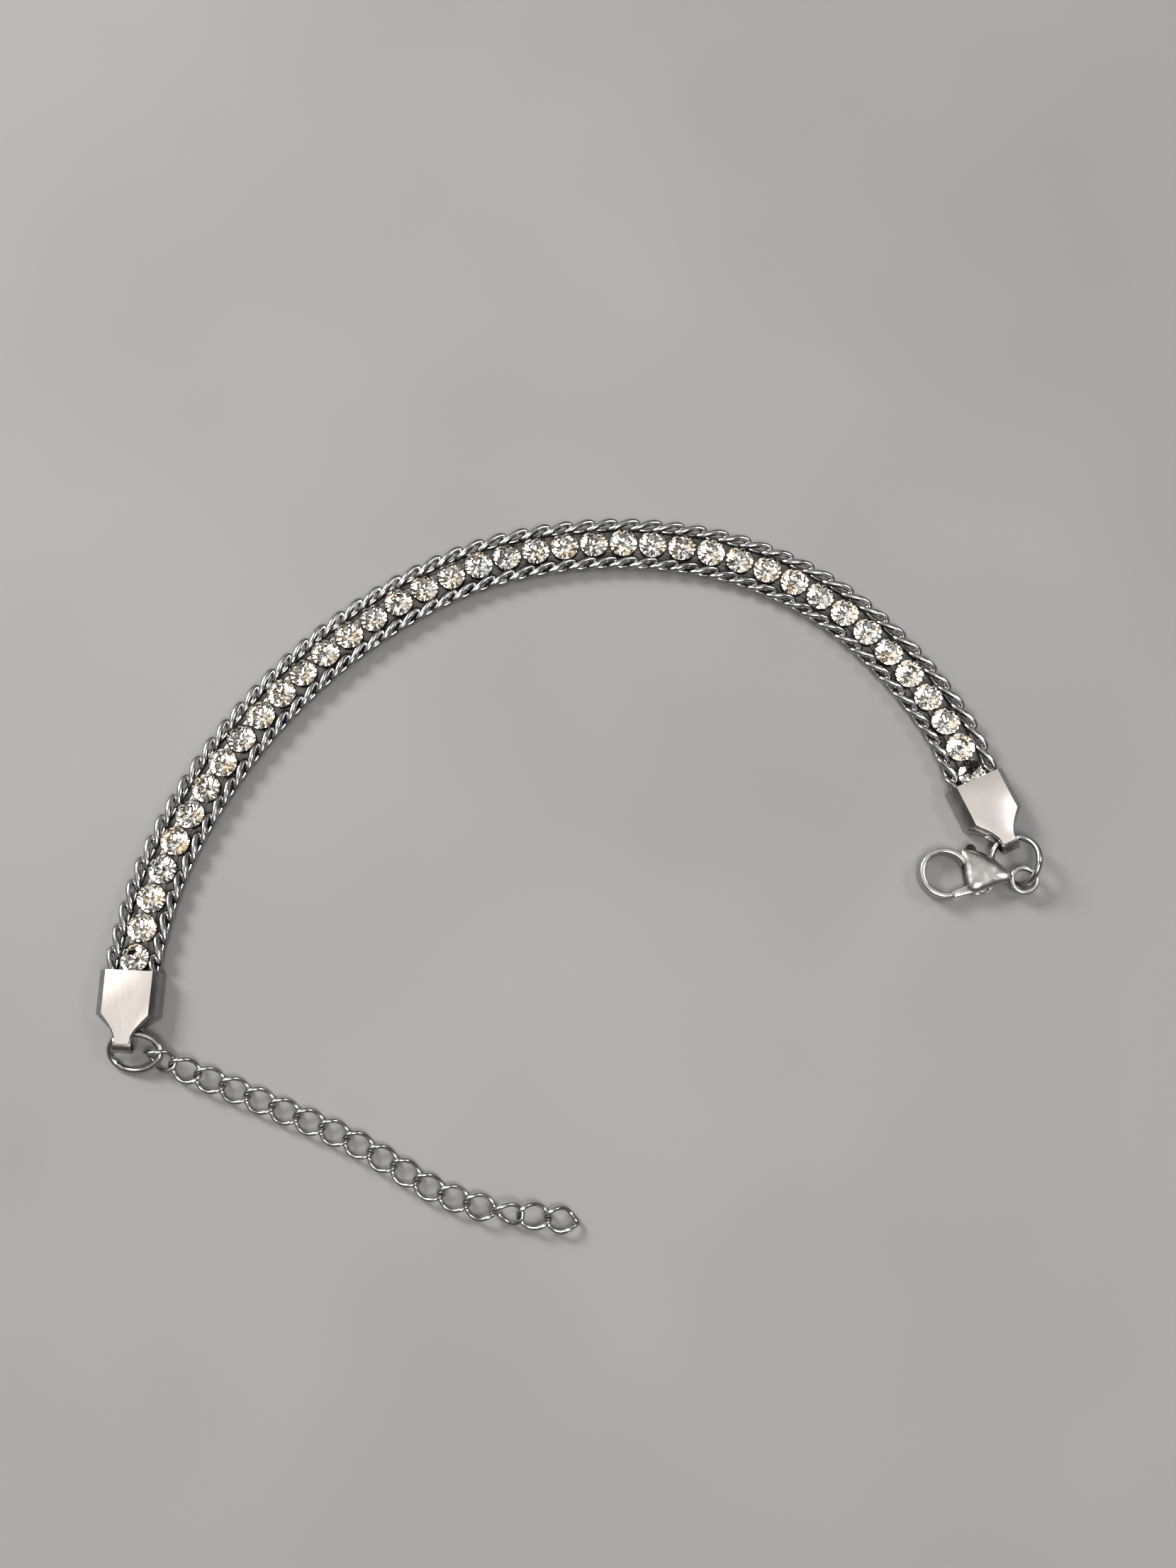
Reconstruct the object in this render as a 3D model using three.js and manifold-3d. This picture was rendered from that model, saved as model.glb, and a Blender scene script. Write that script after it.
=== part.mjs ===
// A bracelet of round clear stones between two rows of curb links, lying open in an arch.
// Metal cups carry the stones. The rows and cups run into a folded cap at each end. The left
// cap holds a ring and an open extension chain, the right one a ring and a clasp with a rocking
// lever. Millimetres, +Z up, resting on z = 0, origin at the bottom centre of the whole.

import * as THREE from 'three';
import { mergeVertices } from 'three/addons/utils/BufferGeometryUtils.js';
import { ConvexGeometry } from 'three/addons/geometries/ConvexGeometry.js';
import Module from 'manifold-3d';

const wasm = await Module();
wasm.setup();

// Stones
const stoneDiameter = 3.0;
const crownHeight = 0.42;
const tableShare = 0.56;
const pavilionAngle = THREE.MathUtils.degToRad(40);
const tableCorners = 8;

// Cups
const cupWall = 0.15;
const cupGap = 0.07;
const cupSides = 10;
const cupBase = 0.3;
const cupFootRadius = 1.15;
const cupShoulder = 1.0;
const cupRim = 1.72;
const girdleRise = 0.1;
const seatClearance = 0.07;
const barWidth = 0.8;
const barHeight = 0.5;
const barBite = 0.2;

// Rows of curb links beside the cups
const linkPitch = 2.46;
const rowWidth = 1.14;
const rowHeight = 1.9;
const rowGap = 0.07;
const lobeDepth = 0.38;
const stepsPerLink = 3;
const rowSides = 8;

// End caps, of folded sheet
const sheet = 0.32;
const capWidth = 6.7;
const capHeight = 3.2;
const capShoulder = 4.75;
const capTaper = 3.05;
const neckWidth = 1.95;
const bevelWidth = 0.8;
const bevelDrop = 1.0;
const footBevel = 0.35;
const gripLength = 3.2;
const gripClearance = 0.1;
const rightCover = 0.75;
const stoneInset = 1.45;
const fallLength = 12;
const loopHeight = 2.1;
const loopBack = 1.67;

// Jump rings
const ringWire = 0.65;
const ringSegments = 16;
const ringSides = 6;

// Extension chain
const chainWire = 0.48;
const chainLinkWidth = 3.0;
const chainPitch = 2.93;
const chainBite = 0.14;
const chainTwist = THREE.MathUtils.degToRad(45);
const chainSegments = 10;
const chainSides = 5;
const endLinkPoint = 0.6;

// Clasp, measured from the middle of its eye with the hook towards -X
const eyeBore = 2.12;
const eyeWall = 0.48;
const eyeHeight = 0.8;
const eyeLevel = 1.62;
const claspHeight = 2.4;
const tailLap = 0.24;
const tailDrop = 0.1;
const hookReach = 8.74;
const hookOuterRadius = 2.83;
const hookWall = 0.65;
const hookHeight = 2.0;
const hookTipAngle = THREE.MathUtils.degToRad(291);
const hookRootAngle = THREE.MathUtils.degToRad(35);
const leverPivot = new THREE.Vector2(-4.6, -1.0);
const pinRadius = 0.35;
const pinClearance = 0.15;
const leverBoss = 0.75;
const leverThickness = 0.92;
const leverGap = 0.12;
const leverTipGap = 0.2;
const knobRadius = 0.6;
const claspTurn = THREE.MathUtils.degToRad(-5.1);

// Where the piece lies: chosen points of the band, mm, from the left cap round to the right one
const bandRoute = [
  [-49.7, -24.7], [-49.5, -21.0], [-47.3, -10.9], [-43.0, -1.4], [-37.1, 7.4],
  [-29.9, 15.0], [-21.6, 21.2], [-12.5, 25.7], [-2.5, 28.0], [7.7, 28.2],
  [17.8, 26.2], [26.9, 21.7], [34.5, 14.9], [40.6, 6.4], [43.4, -0.6], [44.8, -3.7],
];

// and of the extension chain, from the middle of its first link to that of its last
const chainRoute = [
  [-46.1, -30.9, 1.4], [-43.4, -32.05, 1.15], [-40.7, -33.1, 0.9], [-37.7, -34.3, 0.75],
  [-31.9, -36.7, 0.72], [-26.4, -39.0, 0.72], [-21.1, -41.8, 0.72], [-15.9, -44.8, 0.72],
  [-10.5, -46.6, 1.0], [-7.5, -47.1, 1.25], [-4.5, -47.4, 1.0], [-1.4, -47.9, 0.75],
];

const up = new THREE.Vector3(0, 0, 1);
const steel = new THREE.MeshStandardMaterial({ color: 0xc4c3c2, metalness: 1, roughness: 0.16 });
const satin = new THREE.MeshStandardMaterial({ color: 0xd9d2cc, metalness: 1, roughness: 0.36 });
const crystal = new THREE.MeshStandardMaterial({ color: 0xf3f4f6, metalness: 0, roughness: 0.03 });

// Turns a closed geometry into a solid that can be joined and cut
function toSolid(geometry) {
  const bare = geometry.clone();
  bare.deleteAttribute('normal');
  bare.deleteAttribute('uv');
  const welded = mergeVertices(bare, 1e-4);
  const triVerts = Uint32Array.from(welded.index.array);
  const vertProperties = Float32Array.from(welded.attributes.position.array);
  return new wasm.Manifold(new wasm.Mesh({ numProp: 3, vertProperties, triVerts }));
}

// and back
function toGeometry(solid) {
  const mesh = solid.getMesh();
  const geometry = new THREE.BufferGeometry();
  geometry.setAttribute('position', new THREE.BufferAttribute(mesh.vertProperties, 3));
  geometry.setIndex(new THREE.BufferAttribute(mesh.triVerts, 1));
  return geometry;
}

function joinAll(geometries) {
  let solid = toSolid(geometries[0]);
  for (const geometry of geometries.slice(1)) {
    solid = solid.add(toSolid(geometry));
  }
  return solid;
}

// Skins a row of rings of points, each counter-clockwise seen from the far end, and closes both ends
function loft(rings) {
  const sides = rings[0].length;
  const positions = rings.flat().flatMap((point) => [point.x, point.y, point.z]);
  const faces = [];
  for (let ring = 0; ring < rings.length - 1; ring += 1) {
    for (let side = 0; side < sides; side += 1) {
      const here = ring * sides + side;
      const next = ring * sides + (side + 1) % sides;
      faces.push(here, next, next + sides, here, next + sides, here + sides);
    }
  }
  const last = (rings.length - 1) * sides;
  for (let side = 1; side < sides - 1; side += 1) {
    faces.push(0, side + 1, side);
    faces.push(last, last + side, last + side + 1);
  }
  const geometry = new THREE.BufferGeometry();
  geometry.setAttribute('position', new THREE.Float32BufferAttribute(positions, 3));
  geometry.setIndex(faces);
  return geometry;
}

// The middle line of the band. Its metal is lifted by the floor of the caps and sinks to the
// table over a short way outside them.
const bandCurve = new THREE.CatmullRomCurve3(
  bandRoute.map(([x, y]) => new THREE.Vector3(x, y, 0)), false, 'centripetal');
bandCurve.arcLengthDivisions = 800;
const bandLength = bandCurve.getLength();

function liftAt(distance) {
  const fromEnd = Math.min(distance, bandLength - distance) - gripLength;
  return (sheet + gripClearance) * (1 - THREE.MathUtils.smoothstep(fromEnd, 0, fallLength));
}

// Place, travel direction and left-hand direction of the band at a distance from its start
function bandFrame(distance) {
  const share = THREE.MathUtils.clamp(distance / bandLength, 0, 1);
  const along = bandCurve.getTangentAt(share);
  const across = new THREE.Vector3().crossVectors(up, along);
  const origin = bandCurve.getPointAt(share).addScaledVector(up, liftAt(distance));
  return { origin, along, across };
}

// Stones stand at equal steps between the caps
const stoneRadius = stoneDiameter / 2;
const cupRadius = stoneRadius + cupWall;
const girdleLevel = cupRim + girdleRise;
const firstStone = gripLength + stoneInset;
const stoneRun = bandLength - 2 * firstStone;
const stoneSteps = Math.floor(stoneRun / (2 * cupRadius + cupGap));
const stonePitch = stoneRun / stoneSteps;

function stoneFrame(index) {
  return bandFrame(firstStone + index * stonePitch);
}

// A cut stone: flat table, a crown of facets, sharp girdle and a pointed pavilion
function stoneGeometry() {
  const points = [new THREE.Vector3(0, 0, -stoneRadius * Math.tan(pavilionAngle))];
  for (let corner = 0; corner < tableCorners; corner += 1) {
    const angle = corner / tableCorners * Math.PI * 2;
    const table = tableShare * stoneRadius;
    points.push(new THREE.Vector3(table * Math.cos(angle), table * Math.sin(angle), crownHeight));
  }
  for (let corner = 0; corner < 2 * tableCorners; corner += 1) {
    const angle = corner / tableCorners * Math.PI;
    points.push(new THREE.Vector3(stoneRadius * Math.cos(angle), stoneRadius * Math.sin(angle), 0));
  }
  return new ConvexGeometry(points);
}

// A cup turned about Z, with a flat side to each neighbour and a conical seat for the stone
function cupGeometry() {
  const pavilionAtRim = stoneRadius - girdleRise / Math.tan(pavilionAngle);
  const seatReach = pavilionAtRim + seatClearance;
  const profile = [
    new THREE.Vector2(0, cupBase),
    new THREE.Vector2(cupFootRadius, cupBase),
    new THREE.Vector2(cupRadius, cupShoulder),
    new THREE.Vector2(cupRadius, cupRim),
    new THREE.Vector2(seatReach / Math.cos(Math.PI / cupSides), cupRim),
    new THREE.Vector2(0, cupRim - seatReach * Math.tan(pavilionAngle)),
  ];
  return new THREE.LatheGeometry(profile, cupSides).rotateX(Math.PI / 2);
}

// Turns a geometry made with +X along the band and puts it at a frame
function placeOnBand(geometry, frame) {
  const turn = new THREE.Matrix4().makeBasis(frame.along, frame.across, up);
  turn.setPosition(frame.origin);
  return geometry.applyMatrix4(turn);
}

function cupChainGeometry() {
  const pieces = [];
  for (let index = 0; index <= stoneSteps; index += 1) {
    pieces.push(placeOnBand(cupGeometry(), stoneFrame(index)));
  }
  const barLength = stonePitch - 2 * cupRadius * Math.cos(Math.PI / cupSides) + 2 * barBite;
  for (let index = 0; index < stoneSteps; index += 1) {
    const bar = new THREE.BoxGeometry(barLength, barWidth, barHeight);
    bar.translate(0, 0, cupShoulder + barHeight / 2);
    pieces.push(placeOnBand(bar, stoneFrame(index + 0.5)));
  }
  return toGeometry(joinAll(pieces));
}

// One row of curb links as a strand of oval outer shape. Two lobes wind round it, and each half
// turn is one link, so that a slanted ridge stands where each link's upper wire lies.
const rowOffset = cupRadius + rowGap + rowWidth / 2;
const rowLinks = Math.round(bandLength / linkPitch);

function rowGeometry(side) {
  const rings = [];
  const steps = rowLinks * stepsPerLink;
  for (let step = 0; step <= steps; step += 1) {
    const frame = bandFrame(step / steps * bandLength);
    const phase = step / stepsPerLink * Math.PI * 2;
    const middle = frame.origin.clone().addScaledVector(frame.across, side * rowOffset);
    middle.z += rowHeight / 2;
    const ring = [];
    for (let corner = 0; corner < rowSides; corner += 1) {
      const angle = corner / rowSides * Math.PI * 2;
      const swell = 1 - lobeDepth * (1 - Math.cos(2 * angle + phase)) / 2;
      const point = middle.clone();
      point.addScaledVector(frame.across, swell * rowWidth / 2 * Math.cos(angle));
      point.addScaledVector(up, swell * rowHeight / 2 * Math.sin(angle));
      ring.push(point);
    }
    rings.push(ring);
  }
  return loft(rings);
}

// A cap stands with its mouth at y = 0 and its neck at y = capLength. Its outline is straight to
// the shoulder and then draws in to the neck on a hollow curve.
const capLength = capShoulder + capTaper;
const loopBottom = capHeight - loopHeight;
const loopMiddle = capHeight - loopHeight / 2;

function capHalfWidth(taperShare) {
  const spare = (capWidth - neckWidth) / 2;
  return neckWidth / 2 + spare * (1 - Math.sin(taperShare * Math.PI / 2));
}

// One ring of the cap's outside, or of its inside where inset is the sheet's thickness
function capRing(y, taperShare, inset) {
  const half = capHalfWidth(taperShare) - inset;
  const fullness = half / (capWidth / 2);
  const bottom = loopBottom * THREE.MathUtils.smoothstep(taperShare, 0, 0.55) + inset;
  const top = capHeight - inset;
  const bevel = bevelWidth * fullness;
  const drop = bevelDrop * fullness;
  const foot = footBevel * fullness;
  const half2d = [[half - foot, bottom], [half, bottom + foot], [half, top - drop], [half - bevel, top]];
  const mirrored = half2d.map(([across, level]) => [-across, level]).reverse();
  return half2d.concat(mirrored).map(([across, level]) => new THREE.Vector3(-across, y, level));
}

function capGeometry() {
  const taperStations = [0, 0.12, 0.25, 0.4, 0.55, 0.75, 1];
  const cavityStations = [0, 0.12, 0.22, 0.32];
  const stationY = (share) => capShoulder + share * capTaper;
  const outside = loft([capRing(0, 0, 0)].concat(
    taperStations.map((share) => capRing(stationY(share), share, 0))));
  const cavity = loft([capRing(-1, 0, sheet)].concat(
    cavityStations.map((share) => capRing(stationY(share), share, sheet))));

  const bend = new THREE.CylinderGeometry(loopHeight / 2, loopHeight / 2, neckWidth, 20);
  bend.rotateZ(Math.PI / 2).translate(0, capLength, loopMiddle);

  const bore = loopHeight / 2 - sheet;
  const slotShape = new THREE.Shape();
  slotShape.moveTo(capLength - loopBack, loopMiddle + bore);
  slotShape.lineTo(capLength - loopBack, loopMiddle - bore);
  slotShape.absarc(capLength, loopMiddle, bore, -Math.PI / 2, Math.PI / 2, false);
  const slot = new THREE.ExtrudeGeometry(slotShape, {
    depth: capWidth, bevelEnabled: false, curveSegments: 8,
  });
  const [alongX, alongY, alongZ] = [[1, 0, 0], [0, 1, 0], [0, 0, 1]].map((v) => new THREE.Vector3(...v));
  slot.applyMatrix4(new THREE.Matrix4().makeBasis(alongY, alongZ, alongX));
  slot.translate(-capWidth / 2, 0, 0);

  const solid = toSolid(outside).add(toSolid(bend)).subtract(toSolid(slot)).subtract(toSolid(cavity));
  return toGeometry(solid);
}

// A jump ring held in a cap's loop, oval where its depth differs from its radius. Its frame has y
// running out of the loop from the front of the bore. It lies in a plane that slopes down from
// the loop, and may be sprung a little, so that the wire climbs across itself by one angle at
// the loop and by another at the far side.
class JumpRingCurve extends THREE.Curve {
  constructor(shape) {
    super();
    this.shape = shape;
  }

  getPoint(share, target = new THREE.Vector3()) {
    const { radius, depth, aside, back, level, slope, climbNear, climbFar } = this.shape;
    const angle = share * Math.PI * 2;
    const climb = THREE.MathUtils.lerp(climbNear, climbFar, (1 - Math.sin(angle)) / 2);
    const reach = radius * Math.cos(angle);
    return target.set(
      -aside - reach * Math.cos(climb),
      back + depth * (1 - Math.sin(angle)) * Math.cos(slope),
      level + depth * Math.sin(angle) * Math.sin(slope) + reach * Math.sin(climb),
    );
  }
}

const deg = THREE.MathUtils.degToRad;
const leftRing = {
  radius: 2.82, depth: 2.05, aside: 1.12, back: -1.8, level: 1.38, slope: deg(23),
  climbNear: deg(-4), climbFar: deg(15),
};
const rightRing = {
  radius: 2.68, depth: 2.68, aside: 0, back: -1.2, level: 1.95, slope: deg(1.5),
  climbNear: deg(1), climbFar: deg(54),
};
const eyeInRing = new THREE.Vector2(0.12, 3.73);

function ringGeometry(shape) {
  return new THREE.TubeGeometry(new JumpRingCurve(shape), ringSegments, ringWire / 2, ringSides, true);
}

// One curb link, an oval loop twisted about its own length so that it can lie flat
class CurbLinkCurve extends THREE.Curve {
  constructor(frame, roll, point) {
    super();
    this.frame = frame;
    this.roll = roll;
    this.point = point;
  }

  getPoint(share, target = new THREE.Vector3()) {
    const angle = share * Math.PI * 2;
    const halfLength = (chainPitch + chainWire - chainBite) / 2;
    const halfWidth = (chainLinkWidth - chainWire) / 2;
    const draw = 1 - this.point * Math.max(0, Math.cos(angle)) ** 2;
    const twist = this.roll - chainTwist * Math.cos(angle);
    const aside = halfWidth * draw * Math.sin(angle);
    target.copy(this.frame.origin);
    target.addScaledVector(this.frame.along, halfLength * Math.cos(angle));
    target.addScaledVector(this.frame.across, aside * Math.cos(twist));
    return target.addScaledVector(this.frame.up, aside * Math.sin(twist));
  }
}

const chainCurve = new THREE.CatmullRomCurve3(
  chainRoute.map((place) => new THREE.Vector3(...place)), false, 'centripetal');
const chainSteps = Math.floor(chainCurve.getLength() / chainPitch);
const turnedLink = chainSteps - 2;

function chainFrame(index) {
  const share = Math.min(1, index * chainPitch / chainCurve.getLength());
  const along = chainCurve.getTangentAt(share);
  const across = new THREE.Vector3().crossVectors(up, along).normalize();
  const origin = chainCurve.getPointAt(share);
  return { origin, along, across, up: new THREE.Vector3().crossVectors(along, across) };
}

// How far a link is rolled about the chain: the first two are tipped by their ring, and one near
// the end lies on its side
function chainRoll(index) {
  const rolls = { 0: deg(50), 1: deg(20), [turnedLink]: deg(50) };
  return rolls[index] ?? 0;
}

// A link that would reach below the table is raised until its wire rests on it
function chainLinkCurve(index) {
  const point = index === chainSteps ? endLinkPoint : 0;
  const curve = new CurbLinkCurve(chainFrame(index), chainRoll(index), point);
  const lowest = Math.min(...curve.getPoints(4 * chainSegments).map((place) => place.z));
  curve.frame.origin.z += Math.max(0, chainWire / 2 - lowest);
  return curve;
}

function extensionChainGeometry() {
  const links = [];
  for (let index = 0; index <= chainSteps; index += 1) {
    const curve = chainLinkCurve(index);
    links.push(new THREE.TubeGeometry(curve, chainSegments, chainWire / 2, chainSides, true));
  }
  return toGeometry(joinAll(links));
}

// The clasp, in its own frame
const hookMiddle = new THREE.Vector2(-hookReach, 0);
const hookInnerRadius = hookOuterRadius - hookWall;

function prism(shape, bottom, height, curveSegments) {
  const geometry = new THREE.ExtrudeGeometry(shape, { depth: height, bevelEnabled: false, curveSegments });
  return geometry.translate(0, 0, bottom);
}

function hookGeometry() {
  const shape = new THREE.Shape();
  shape.absarc(hookMiddle.x, hookMiddle.y, hookOuterRadius, hookRootAngle, hookTipAngle, false);
  shape.absarc(hookMiddle.x, hookMiddle.y, hookInnerRadius, hookTipAngle, hookRootAngle, true);
  return prism(shape, (claspHeight - hookHeight) / 2, hookHeight, 16);
}

// The body's outline, a drop shape with a hollow front, as shares of the hook's reach
function bodyGeometry() {
  const outline = [
    [-0.802, 0.314], [-0.77, 0.01], [-0.705, -0.165], [-0.632, -0.222], [-0.5, -0.2],
    [-0.37, -0.165], [-0.36, -0.08], [-0.405, 0.02], [-0.435, 0.17], [-0.475, 0.24], [-0.63, 0.302],
  ].map(([x, y]) => new THREE.Vector2(x * hookReach, y * hookReach));
  const dome = 0.4;
  const geometry = new THREE.ExtrudeGeometry(new THREE.Shape(outline), {
    depth: claspHeight - 2 * dome, bevelThickness: dome, bevelSize: dome, bevelOffset: -dome, bevelSegments: 2,
  });
  return geometry.translate(0, 0, dome);
}

function eyeGeometry() {
  const ring = new THREE.Shape().absarc(0, 0, eyeBore / 2 + eyeWall, 0, Math.PI * 2, false);
  ring.holes.push(new THREE.Path().absarc(0, 0, eyeBore / 2, 0, Math.PI * 2, true));
  return prism(ring, eyeLevel - eyeHeight / 2, eyeHeight, 10);
}

// The tail of the body is cut away underneath, so that the jump ring can pass under it to the eye,
// and laps down the eye's top
function claspTailGeometry() {
  const eyeEdge = -(eyeBore / 2 + eyeWall / 3) / hookReach;
  const outline = [
    [-0.47, -0.19], [-0.33, -0.14], [-0.23, -0.07], [eyeEdge, -0.055],
    [eyeEdge, 0.055], [-0.23, 0.085], [-0.33, 0.15], [-0.47, 0.215],
  ].map(([x, y]) => new THREE.Vector2(x * hookReach, y * hookReach));
  const bottom = eyeLevel + eyeHeight / 2 - tailLap;
  return prism(new THREE.Shape(outline), bottom, claspHeight - tailDrop - bottom, 1);
}

// The room for the lever between the two plates of the body, open at the front and on both sides
function leverRoomGeometry() {
  const back = leverPivot.x + leverBoss + leverGap;
  const root = -0.75 * hookReach;
  const front = -0.88 * hookReach;
  const rootSide = 0.14 * hookReach;
  const side = 0.45 * hookReach;
  const outline = [
    [back, -side], [back, side], [root, side], [root, rootSide], [front, rootSide], [front, -side],
  ].map(([x, y]) => new THREE.Vector2(x, y));
  const height = leverThickness + 2 * leverGap;
  return prism(new THREE.Shape(outline), (claspHeight - height) / 2, height, 1);
}

function pinGeometry() {
  const length = claspHeight - 0.6;
  const pin = new THREE.CylinderGeometry(pinRadius, pinRadius, length, 12);
  return pin.rotateX(Math.PI / 2).translate(leverPivot.x, leverPivot.y, claspHeight / 2);
}

function claspBodyGeometry() {
  const body = toSolid(bodyGeometry()).subtract(toSolid(leverRoomGeometry()));
  const rest = joinAll([hookGeometry(), eyeGeometry(), claspTailGeometry(), pinGeometry()]);
  return toGeometry(body.add(rest));
}

// The lever: a boss round the pin, an arm that closes the mouth, and an arm up to the thumb knob
function claspLeverGeometry() {
  const tipTurn = hookTipAngle + leverTipGap / hookOuterRadius;
  const onTip = (radius) => new THREE.Vector2(Math.cos(tipTurn), Math.sin(tipTurn))
    .multiplyScalar(radius).add(hookMiddle);
  const tipOuter = onTip(hookOuterRadius);
  const tipInner = onTip(hookInnerRadius);
  const knob = new THREE.Vector2(-0.68 * hookReach, 0.338 * hookReach);
  const shape = new THREE.Shape();
  shape.moveTo(tipInner.x, tipInner.y);
  shape.lineTo(tipOuter.x, tipOuter.y);
  shape.absarc(leverPivot.x, leverPivot.y, leverBoss, deg(-110), deg(30), false);
  shape.absarc(knob.x, knob.y, knobRadius, deg(-40), deg(210), false);
  shape.lineTo(leverPivot.x - 1.45 * leverBoss, leverPivot.y + 0.2 * leverBoss);
  const bore = leverPivot.clone();
  shape.holes.push(new THREE.Path().absarc(bore.x, bore.y, pinRadius + pinClearance, 0, Math.PI * 2, true));
  return prism(shape, (claspHeight - leverThickness) / 2, leverThickness, 8);
}

// Puts a named mesh into a group
function addPiece(parent, name, geometry, material) {
  const mesh = new THREE.Mesh(geometry, material);
  mesh.name = name;
  parent.add(mesh);
  return mesh;
}

// A group that stands at one end of the band with +Y running outwards from the cap's mouth
function capGroup(mouth, end) {
  const group = new THREE.Group();
  const outwards = end.clone().sub(mouth);
  group.position.set(mouth.x, mouth.y, 0);
  group.rotation.z = Math.atan2(outwards.y, outwards.x) - Math.PI / 2;
  return group;
}

const bracelet = new THREE.Group();

for (let index = 0; index <= stoneSteps; index += 1) {
  const name = `stone_${String(index + 1).padStart(2, '0')}`;
  const stone = addPiece(bracelet, name, stoneGeometry(), crystal);
  const frame = stoneFrame(index);
  stone.position.copy(frame.origin).addScaledVector(up, girdleLevel);
  stone.rotation.z = Math.atan2(frame.along.y, frame.along.x);
}

addPiece(bracelet, 'cup_chain', cupChainGeometry(), steel);
addPiece(bracelet, 'side_chain_outer', rowGeometry(1), steel);
addPiece(bracelet, 'side_chain_inner', rowGeometry(-1), steel);

const leftEnd = capGroup(bandFrame(gripLength).origin, bandFrame(0).origin);
const rightMouth = bandFrame(bandLength - gripLength - rightCover).origin;
const rightEnd = capGroup(rightMouth, bandFrame(bandLength).origin);
bracelet.add(leftEnd, rightEnd);
addPiece(leftEnd, 'end_cap_left', capGeometry(), satin);
addPiece(rightEnd, 'end_cap_right', capGeometry(), satin);

const boreFront = capLength + loopHeight / 2 - sheet;
addPiece(leftEnd, 'jump_ring_left', ringGeometry(leftRing), steel).position.y = boreFront;
addPiece(rightEnd, 'jump_ring_right', ringGeometry(rightRing), steel).position.y = boreFront;

addPiece(bracelet, 'extension_chain', extensionChainGeometry(), steel);

const clasp = new THREE.Group();
clasp.position.set(eyeInRing.x, boreFront + eyeInRing.y, 0);
clasp.rotation.z = claspTurn - rightEnd.rotation.z;
rightEnd.add(clasp);
addPiece(clasp, 'clasp_body', claspBodyGeometry(), steel);
addPiece(clasp, 'clasp_lever', claspLeverGeometry(), steel);

bracelet.updateMatrixWorld(true);
const whole = new THREE.Box3().setFromObject(bracelet, true);
const middle = whole.getCenter(new THREE.Vector3());
bracelet.position.set(-middle.x, -middle.y, -whole.min.z);

export default bracelet;
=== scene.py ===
import math

import bmesh
import bpy
import numpy as np
from mathutils import Matrix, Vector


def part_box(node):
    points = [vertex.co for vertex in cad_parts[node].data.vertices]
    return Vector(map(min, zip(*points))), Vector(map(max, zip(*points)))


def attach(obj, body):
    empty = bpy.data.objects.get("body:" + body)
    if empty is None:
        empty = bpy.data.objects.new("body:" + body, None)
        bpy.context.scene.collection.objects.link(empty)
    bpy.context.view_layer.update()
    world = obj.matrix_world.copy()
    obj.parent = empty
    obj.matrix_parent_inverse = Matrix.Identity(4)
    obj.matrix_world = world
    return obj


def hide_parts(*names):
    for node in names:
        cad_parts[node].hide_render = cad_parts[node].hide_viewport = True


# Looks of a bracelet of round clear stones between two rows of curb links. Shapes are worked out
# in millimetres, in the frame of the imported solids, and become metres when they enter a mesh.

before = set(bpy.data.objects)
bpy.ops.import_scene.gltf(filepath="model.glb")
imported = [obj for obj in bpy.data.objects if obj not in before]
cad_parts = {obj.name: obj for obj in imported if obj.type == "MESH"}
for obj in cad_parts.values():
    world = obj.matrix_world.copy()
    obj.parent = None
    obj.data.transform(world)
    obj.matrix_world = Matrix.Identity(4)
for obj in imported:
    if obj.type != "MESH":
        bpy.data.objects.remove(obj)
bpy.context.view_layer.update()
MM = 0.001
UP = np.array([0.0, 0.0, 1.0])

# Camera, as the photograph was taken: size of its image and focal length in pixels
IMAGE_HEIGHT = 2212
FOCAL_PIXELS = 2400
CAMERA_TILT = math.radians(14)
CAMERA_DISTANCE = 192.0

# Stones and their cups. Faces whose normal points further down than FOIL_FACES_BELOW carry foil. The
# lip rises above the girdle at its outside, its top and its inside, and the seat's edge and point
# lie at depths below the girdle.
STONE_RADIUS = 1.6
CROWN_HEIGHT = 0.46
TABLE_SHARE = 0.56
STAR_SHARE = 0.5
PAVILION_ANGLE = math.radians(40)
LOWER_FACET_SHARE = 0.27
STONE_TURN = 2.4
STONE_LEAN = math.radians(3)
FOIL_FACES_BELOW = -0.1
GIRDLE_EDGE = 0.05
GIRDLE_LEVEL = 1.82
STONE_PLAY = 0.02
CUP_RADIUS = 1.67
CUP_FOOT_RADIUS = 1.15
CUP_FOOT_LEVEL = 0.3
CUP_SHOULDER_LEVEL = 1.0
CUP_ROUNDING = 0.06
CUP_SIDES = 48
FOOT_CHAMFER_IN = 0.12
FOOT_CHAMFER_UP = 0.08
LIP_STEP_IN = 0.03
LIP_RISES = (0.01, 0.045, 0.02)
LIP_DEPTH = 0.1
SEAT_EDGE_DEPTH = 0.55
SEAT_POINT_DEPTH = 1.35
PLATE_LENGTH = 1.2
PLATE_WIDTH = 2.0
PLATE_LEVEL = 1.3
PLATE_THICKNESS = 0.2
PLATE_SOFTNESS = 0.5

# Rows of curb links
ROW_LINKS = 56
ROW_OFFSET = 2.29
ROW_MIDDLE = 0.97
ROW_WIRE = 0.72
ROW_HALF_WIDTH = 0.58
ROW_ROLL = math.radians(74)
ROW_TWIST = math.radians(46)
ROW_YAW = math.radians(13)

# Band: how far it runs into the caps, and how high their floor lifts it
GRIP_LENGTH = 3.2
STONE_INSET = 1.45
END_LIFT = 0.42
RIGHT_COVER = 0.75
FALL_LENGTH = 12.0

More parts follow.
